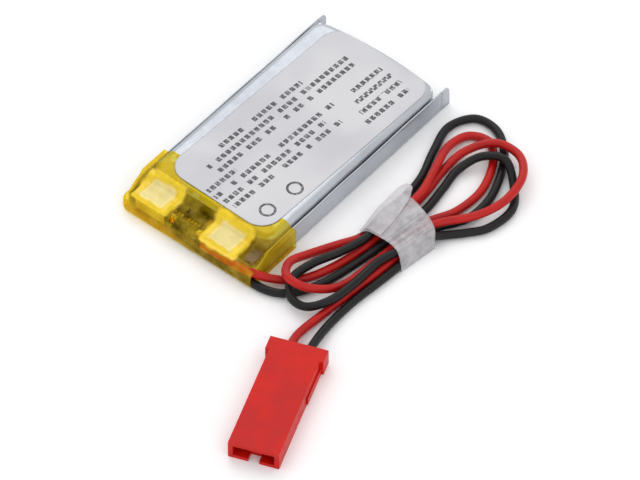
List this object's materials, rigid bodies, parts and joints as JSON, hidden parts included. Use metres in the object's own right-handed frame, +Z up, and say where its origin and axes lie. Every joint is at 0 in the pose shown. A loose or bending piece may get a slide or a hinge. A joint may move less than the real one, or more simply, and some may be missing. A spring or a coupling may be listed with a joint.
{
  "type": "pouch battery cell",
  "caption": "Flat foil pouch cell with amber end tape over its board, and two leads tied in loops that end in a flat two-way plug.",
  "frame": {"origin": "centre of the cell's footprint, on the surface it lies on, without its leads and plug", "axes": "+X across the cell towards the side the leads leave, +Y along it from the board end to the far end, +Z up through its thickness"},
  "size_m": [0.0419, 0.0618, 0.0042],
  "materials": {
    "pouch_foil": "satin laminated foil",
    "anode_coating": "graphite-coated copper sheet",
    "cathode_coating": "oxide-coated aluminium sheet",
    "separator_film": "porous white film",
    "stack_tape": "thin green film tape",
    "aluminium_tab": "rolled aluminium strip",
    "nickel": "rolled nickel strip",
    "seal_film": "heat-seal film",
    "foam": "soft white foam strip",
    "board_laminate": "green solder mask over glass laminate",
    "chip_black": "moulded black epoxy with tinned legs",
    "chip_ceramic": "small fired chips with tinned ends",
    "solder": "tin solder",
    "amber_tape": "heat-proof amber film tape",
    "label_film": "satin light grey label film",
    "red_insulation": "smooth red lead insulation",
    "black_insulation": "smooth black lead insulation",
    "copper_strand": "tinned copper strands",
    "clear_tape": "frosted clear tape",
    "red_plastic": "moulded red housing",
    "tinned_brass": "tin-plated spring contact"
  },
  "bodies": {
    "root": {"pouch_cover": "pouch_foil", "pouch_cup": "pouch_foil", "anode_plates": "anode_coating", "cathode_plates": "cathode_coating", "separator": "separator_film", "stack_tape": "stack_tape", "positive_tab": "aluminium_tab", "negative_tab": "nickel", "positive_tab_film": "seal_film", "negative_tab_film": "seal_film", "board_pad": "foam", "protection_board": "board_laminate", "positive_weld_plate": "nickel", "negative_weld_plate": "nickel", "protection_ic": "chip_black", "mosfet": "chip_black", "resistors": "chip_ceramic", "capacitors": "chip_ceramic", "positive_solder": "solder", "negative_solder": "solder", "end_tape": "amber_tape", "label": "label_film", "red_lead": "red_insulation", "black_lead": "black_insulation", "red_strands": "copper_strand", "black_strands": "copper_strand", "lead_tie": "clear_tape", "connector_housing": "red_plastic", "positive_contact": "tinned_brass", "negative_contact": "tinned_brass"}
  },
  "joints": []
}
